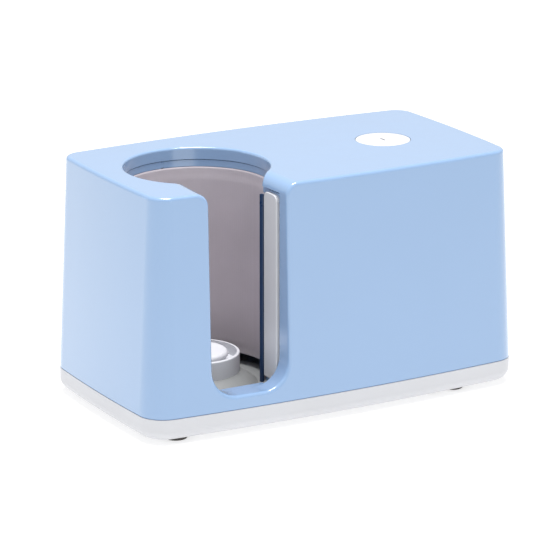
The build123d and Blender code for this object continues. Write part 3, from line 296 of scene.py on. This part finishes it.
def ring_sheet(name, side, angles, heights, inner, outer, edge, sink, steps=(70, 50),
               rolled_first=True):
    """A curved sheet round the well with rolled edges.

    side is -1 for the left and 1 for the right; angles run from straight ahead, in degrees; sink
    gives how far the face lies in from its full thickness at an angle and a height.
    """
    middle, half = (inner + outer) / 2, (outer - inner) / 2
    turn = math.degrees(edge / middle)
    columns = stations(*angles, turn, steps[0], rolled_first)
    rows = stations(*heights, edge, steps[1])
    verts, index = [], {}
    for face in (0, 1):
        for i, (angle, full_i) in enumerate(columns):
            for j, (height, full_j) in enumerate(rows):
                full = min(full_i, full_j)
                if face and full < 1e-6:
                    index[face, i, j] = index[0, i, j]
                    continue
                depth = max(half * full - sink(angle, height, face) * full, 0.0)
                radius = middle + (depth if face else -depth)
                a = math.radians(angle)
                index[face, i, j] = len(verts)
                verts.append((WELL_X + side * radius * math.sin(a),
                              WELL_Y - radius * math.cos(a), height))
    faces = []
    for i in range(len(columns) - 1):
        for j in range(len(rows) - 1):
            for face in (0, 1):
                loop = [index[face, i, j], index[face, i + 1, j], index[face, i + 1, j + 1],
                        index[face, i, j + 1]]
                faces.append(loop if face else loop[::-1])
    if not rolled_first:
        for j in range(len(rows) - 1):
            faces.append([index[0, 0, j], index[1, 0, j], index[1, 0, j + 1], index[0, 0, j + 1]])
    faces = [[v for k, v in enumerate(loop) if v != loop[k - 1]] for loop in faces]
    mesh = bpy.data.meshes.new(name)
    mesh.from_pydata(verts, [], [loop for loop in faces if len(set(loop)) > 2])
    mesh.validate()
    mesh.update()
    work = bmesh.new()
    work.from_mesh(mesh)
    bmesh.ops.recalc_face_normals(work, faces=work.faces)
    work.to_mesh(mesh)
    work.free()
    mesh.shade_smooth()
    mesh.set_sharp_from_angle(angle=math.radians(50))
    piece = bpy.data.objects.new(name, mesh)
    bpy.context.scene.collection.objects.link(piece)
    return piece


def soft_noise(angle, height, scale, seed):
    """Noise over the sheet's own surface, from 0 to 1."""
    return (noise.noise(Vector((math.radians(angle) * 0.05 * scale, height * scale, seed))) + 1) / 2


def flat(angle, height, face):
    """A sheet with no relief."""
    return 0.0


def pad_relief(angle, height, face):
    """A heater pad: hems pressed thinner than the middle, which is gently uneven."""
    if face:
        return 0.0
    along = math.radians(angle - PAD_END - 0.2) * (PAD_INNER + PAD_OUTER) / 2
    border = min(height - PAD_LOW, PAD_HIGH - height, along)
    hem = 0.00045 * (1 - min(1.0, max(0.0, (border - 0.005) / 0.0015)))
    return hem + 0.0003 * soft_noise(angle, height, 55, 3.1)


def felt_relief(seed, straps):
    """Needled felt: lumpy, and pinched at the height of each strap."""
    def sink(angle, height, face):
        pinch = sum(math.exp(-((height - z) / 0.006) ** 2) for z in straps)
        if not face:
            return 0.0
        return (0.0005 * soft_noise(angle, height, 90, seed)
                + 0.00025 * soft_noise(angle, height, 400, seed + 5) + 0.0011 * pinch)
    return sink


def soft_pieces(made):
    """The heater pads, a dark strip of painted shade beside each pad's end, the collar's bellows and the
    felt wraps.
    """
    for side, word in ((-1, "left"), (1, "right")):
        jaw = f"{word}_jaw"
        pad = ring_sheet(f"{word}_pad_sheet", side, (REAR, PAD_END), (PAD_LOW, PAD_HIGH),
                         PAD_INNER, PAD_OUTER, 0.0012, pad_relief, (90, 60), rolled_first=False)
        dressed(pad, made, "pad_grey")
        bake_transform(pad)
        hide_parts(f"{word}_heater_pad")
        # A dark navy strip in the gap between the pad's end and the clamp bar: it stands for the blue
        # carrier plastic there, coloured darker as painted shade of the recess.
        strip = ring_sheet(f"{word}_pad_end_painted_shade", side, (STRIP_START, STRIP_END), (PAD_LOW, PAD_HIGH),
                           PAD_INNER - 0.00005, PAD_OUTER + 0.0001, 0.0005, flat, (4, 40))
        dressed(strip, made, "component_blue")
        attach(strip, jaw)
        bellows = ring_sheet(f"{word}_collar_bellows", side, (REAR, BELLOWS_END),
                             (PAD_HIGH + 0.0003, COLLAR_HIGH - 0.0002), BELLOWS_INNER,
                             BELLOWS_OUTER, 0.0004, flat, (4, 6), rolled_first=False)
        dressed(bellows, made, "shell_blue")
        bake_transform(bellows)
        wrap_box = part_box(f"{word}_insulation_wrap")
        wrap = ring_sheet(f"{word}_felt", side, WRAP_ANGLES, (wrap_box[0].z, wrap_box[1].z),
                          WRAP_INNER, WRAP_OUTER, 0.0012, felt_relief(side + 2.0, STRAP_HEIGHTS),
                          (110, 110))
        dressed(wrap, made, "felt")
        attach(wrap, jaw)
        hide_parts(f"{word}_insulation_wrap")
        for count, height in enumerate(STRAP_HEIGHTS):
            strap = ring_sheet(f"{word}_strap_{count + 1}", side,
                               (WRAP_ANGLES[0] - 1, WRAP_ANGLES[1] + 1),
                               (height - STRAP_HALF_WIDTH, height + STRAP_HALF_WIDTH),
                               STRAP_INNER, STRAP_OUTER, 0.0003, flat, (80, 3))
            dressed(strap, made, "tray_white")
            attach(strap, jaw)


def dressed(piece, made, slot):
    """Gives a piece the record's finish for the given slot."""
    piece.data.materials.append(made[slot])


# ---- stage ---------------------------------------------------------------------------------
def area_light(name, place, aim, size, watts, colour=(1, 1, 1)):
    """A soft square lamp aimed at a point."""
    data = bpy.data.lights.new(name, "AREA")
    data.energy, data.size, data.color = watts, size, colour
    lamp = bpy.data.objects.new(name, data)
    lamp.location = place
    lamp.rotation_euler = (Vector(place) - Vector(aim)).to_track_quat("Z", "Y").to_euler()
    bpy.context.scene.collection.objects.link(lamp)


def stage():
    """A pale floor, an even white surround and soft studio lamps."""
    scene = bpy.context.scene
    scene.view_settings.view_transform = "Standard"
    world = bpy.data.worlds.new("surround")
    world.use_nodes = True
    world.node_tree.nodes["Background"].inputs["Color"].default_value = (1, 1, 1, 1)
    world.node_tree.nodes["Background"].inputs["Strength"].default_value = 0.68
    scene.world = world
    size = 6.0
    mesh = bpy.data.meshes.new("floor")
    corners = [(-size, -size, 0), (size, -size, 0), (size, size, 0), (-size, size, 0)]
    mesh.from_pydata(corners, [], [(0, 1, 2, 3)])
    floor = bpy.data.objects.new("floor", mesh)
    scene.collection.objects.link(floor)
    n = Nodes("floor_paper")
    tone = n.blend(n.spread(n.noise(3), 0, 1), (0.48, 0.48, 0.48), (0.5, 0.5, 0.5))
    mesh.materials.append(n.finish(tone, None, None, Roughness=0.8, Specular_IOR_Level=0.1,
                                   Emission_Color=(1, 1, 1, 1), Emission_Strength=0.62))
    area_light("key", (-1.3, -0.5, 1.5), (0, 0, 0.08), 0.9, 0.8)
    area_light("top", (-0.05, -0.1, 2.0), (-0.05, 0, 0.1), 0.9, 41.0)


camera()
soft_pieces(dress())
stage()
